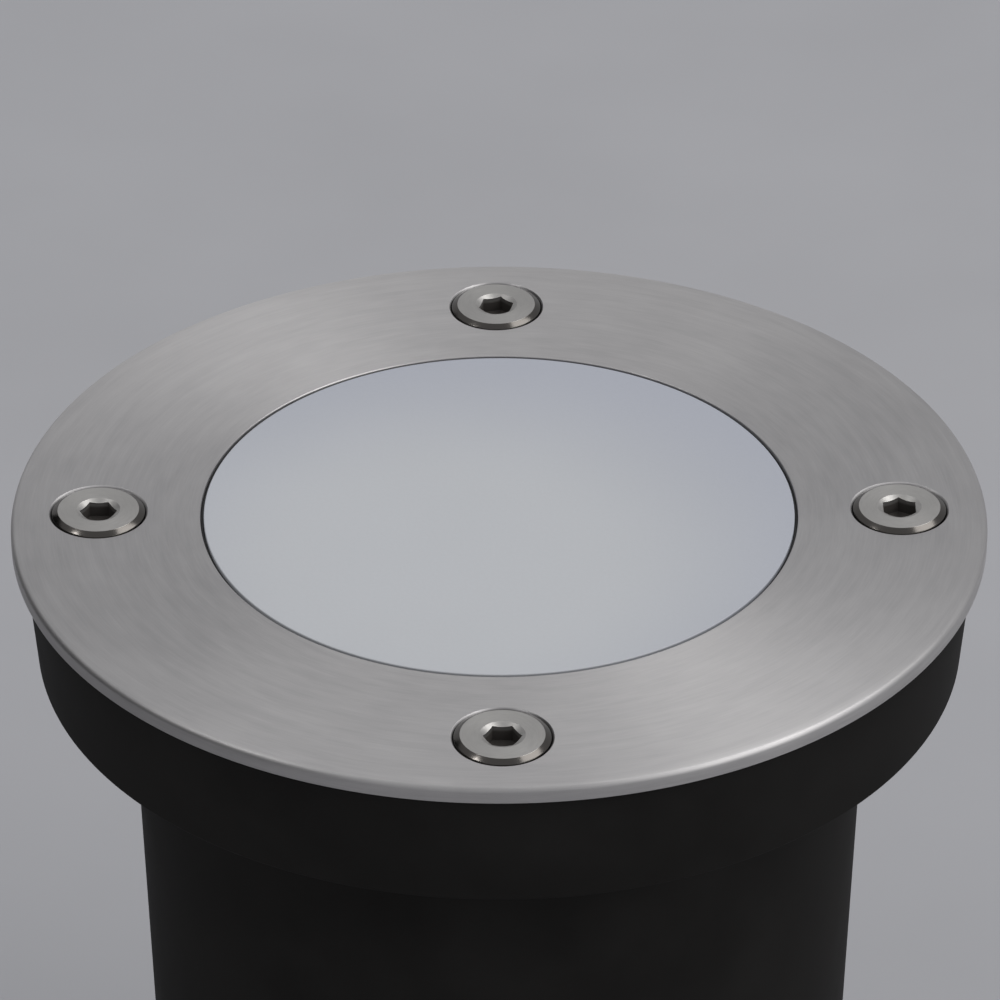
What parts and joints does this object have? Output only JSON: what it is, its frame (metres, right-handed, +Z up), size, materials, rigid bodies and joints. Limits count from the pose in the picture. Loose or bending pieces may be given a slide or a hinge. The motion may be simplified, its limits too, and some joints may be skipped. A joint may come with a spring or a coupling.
{
  "type": "in ground well light",
  "caption": "Round recessed ground light: brushed steel ring with countersunk screws round a flush frosted glass, on a light unit that hangs in a black moulded sleeve.",
  "frame": {"origin": "centre of the sleeve's foot, on the surface that the part stands on", "axes": "+Z up through the centre of the glass, -Y towards the front screw, +X to the right of it"},
  "size_m": [0.12, 0.12, 0.1403],
  "materials": {
    "stainless_brushed": "circular brushed",
    "stainless_screw": "turned and polished",
    "frosted_glass": "etched matt",
    "silicone": "matt",
    "sleeve_plastic": "moulded satin",
    "cast_aluminium": "powder coated",
    "lamp_white": "satin",
    "lamp_lens": "frosted",
    "plated_brass": "nickel plated",
    "ceramic": "unglazed steatite",
    "zinc_steel": "zinc plated",
    "block_plastic": "moulded",
    "brown_lead": "silicone",
    "blue_lead": "silicone",
    "earth_lead": "silicone",
    "gland_nylon": "moulded"
  },
  "bodies": {
    "sleeve": {"mounting_sleeve": "sleeve_plastic"},
    "light_unit": {"housing": "cast_aluminium", "lamp_holder": "ceramic", "holder_bracket": "zinc_steel", "holder_screws": "zinc_steel", "holder_nuts": "zinc_steel", "bracket_screws": "zinc_steel", "terminal_block": "block_plastic", "terminal_screws": "plated_brass", "terminal_fixing": "zinc_steel", "live_lead": "brown_lead", "neutral_lead": "blue_lead", "earth_lead": "earth_lead", "earth_lug": "zinc_steel", "earth_screw": "zinc_steel", "gland_body": "gland_nylon", "gland_washer": "silicone", "gland_locknut": "gland_nylon", "gland_seal": "silicone"},
    "cover": {"trim_ring": "stainless_brushed", "glass": "frosted_glass", "glass_gasket": "silicone"},
    "screw_front": {"trim_screw_front": "stainless_screw"},
    "screw_right": {"trim_screw_right": "stainless_screw"},
    "screw_back": {"trim_screw_back": "stainless_screw"},
    "screw_left": {"trim_screw_left": "stainless_screw"},
    "lamp": {"lamp_body": "lamp_white", "lamp_front": "lamp_lens", "lamp_pins": "plated_brass"},
    "clamp_nut": {"gland_nut": "gland_nylon"}
  },
  "joints": [
    {"name": "light_lift", "type": "slide", "parent": "sleeve", "child": "light_unit", "axis": [0, 0, 1], "range_m": [0, 0.125]},
    {"name": "cover_lift", "type": "slide", "parent": "light_unit", "child": "cover", "axis": [0, 0, 1], "range_m": [0, 0.04]},
    {"name": "screw_front_out", "type": "slide", "parent": "cover", "child": "screw_front", "axis": [0, 0, 1], "range_m": [0, 0.015]},
    {"name": "screw_right_out", "type": "slide", "parent": "cover", "child": "screw_right", "axis": [0, 0, 1], "range_m": [0, 0.015]},
    {"name": "screw_back_out", "type": "slide", "parent": "cover", "child": "screw_back", "axis": [0, 0, 1], "range_m": [0, 0.015]},
    {"name": "screw_left_out", "type": "slide", "parent": "cover", "child": "screw_left", "axis": [0, 0, 1], "range_m": [0, 0.015]},
    {"name": "lamp_twist", "type": "hinge", "parent": "light_unit", "child": "lamp", "pos_m": [0, 0, 0.08], "axis": [0, 0, 1], "range_deg": [0, 20]},
    {"name": "gland_nut_turn", "type": "hinge", "parent": "light_unit", "child": "clamp_nut", "pos_m": [0, 0, 0.028], "axis": [0, 0, 1], "continuous": true}
  ]
}
